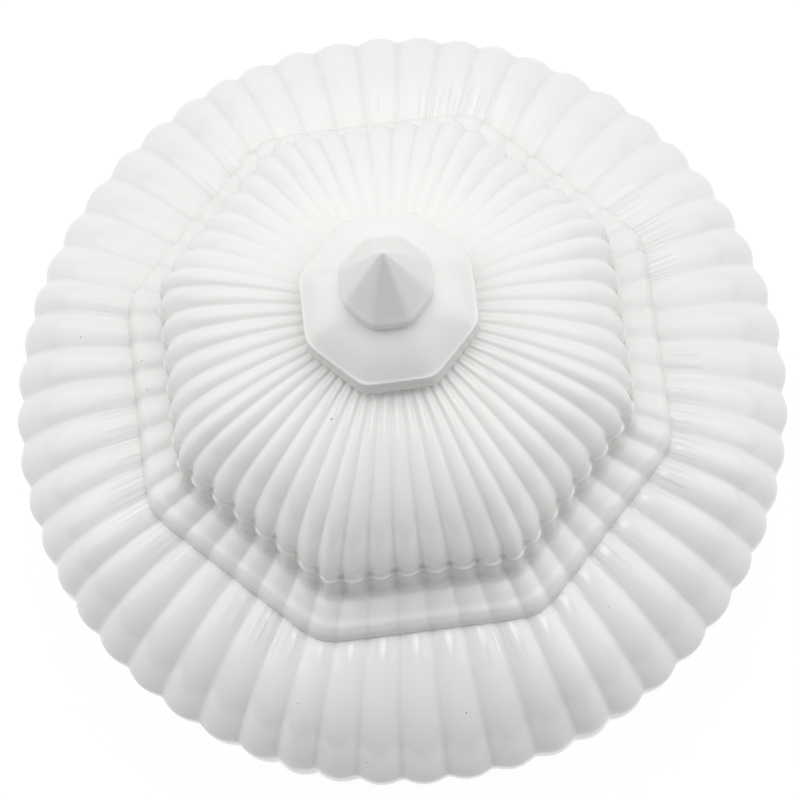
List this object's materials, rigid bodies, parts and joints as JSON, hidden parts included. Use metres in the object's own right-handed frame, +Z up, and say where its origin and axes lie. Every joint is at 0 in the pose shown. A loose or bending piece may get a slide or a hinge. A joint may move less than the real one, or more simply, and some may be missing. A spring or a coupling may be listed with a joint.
{
  "type": "covered casserole dish",
  "caption": "Round fluted ceramic serving bowl with an octagonal fluted lid that lifts off by a pointed octagonal knob.",
  "frame": {"origin": "centre of the foot ring's underside, on the table", "axes": "+Z up along the dish's axis, with a flat side of the octagonal lid facing -Y"},
  "size_m": [0.2416, 0.2416, 0.2158],
  "materials": {
    "white_glaze": "gloss",
    "bare_clay": "matte"
  },
  "bodies": {
    "bowl": {"bowl": "white_glaze", "foot_ring": "bare_clay"},
    "lid": {"lid": "white_glaze", "locating_rim": "white_glaze", "knob_neck": "white_glaze", "knob_collar": "white_glaze", "knob_finial": "white_glaze"}
  },
  "joints": [
    {"name": "lid_lift", "type": "slide", "parent": "bowl", "child": "lid", "axis": [0, 0, 1], "range_m": [0, 0.12]}
  ]
}
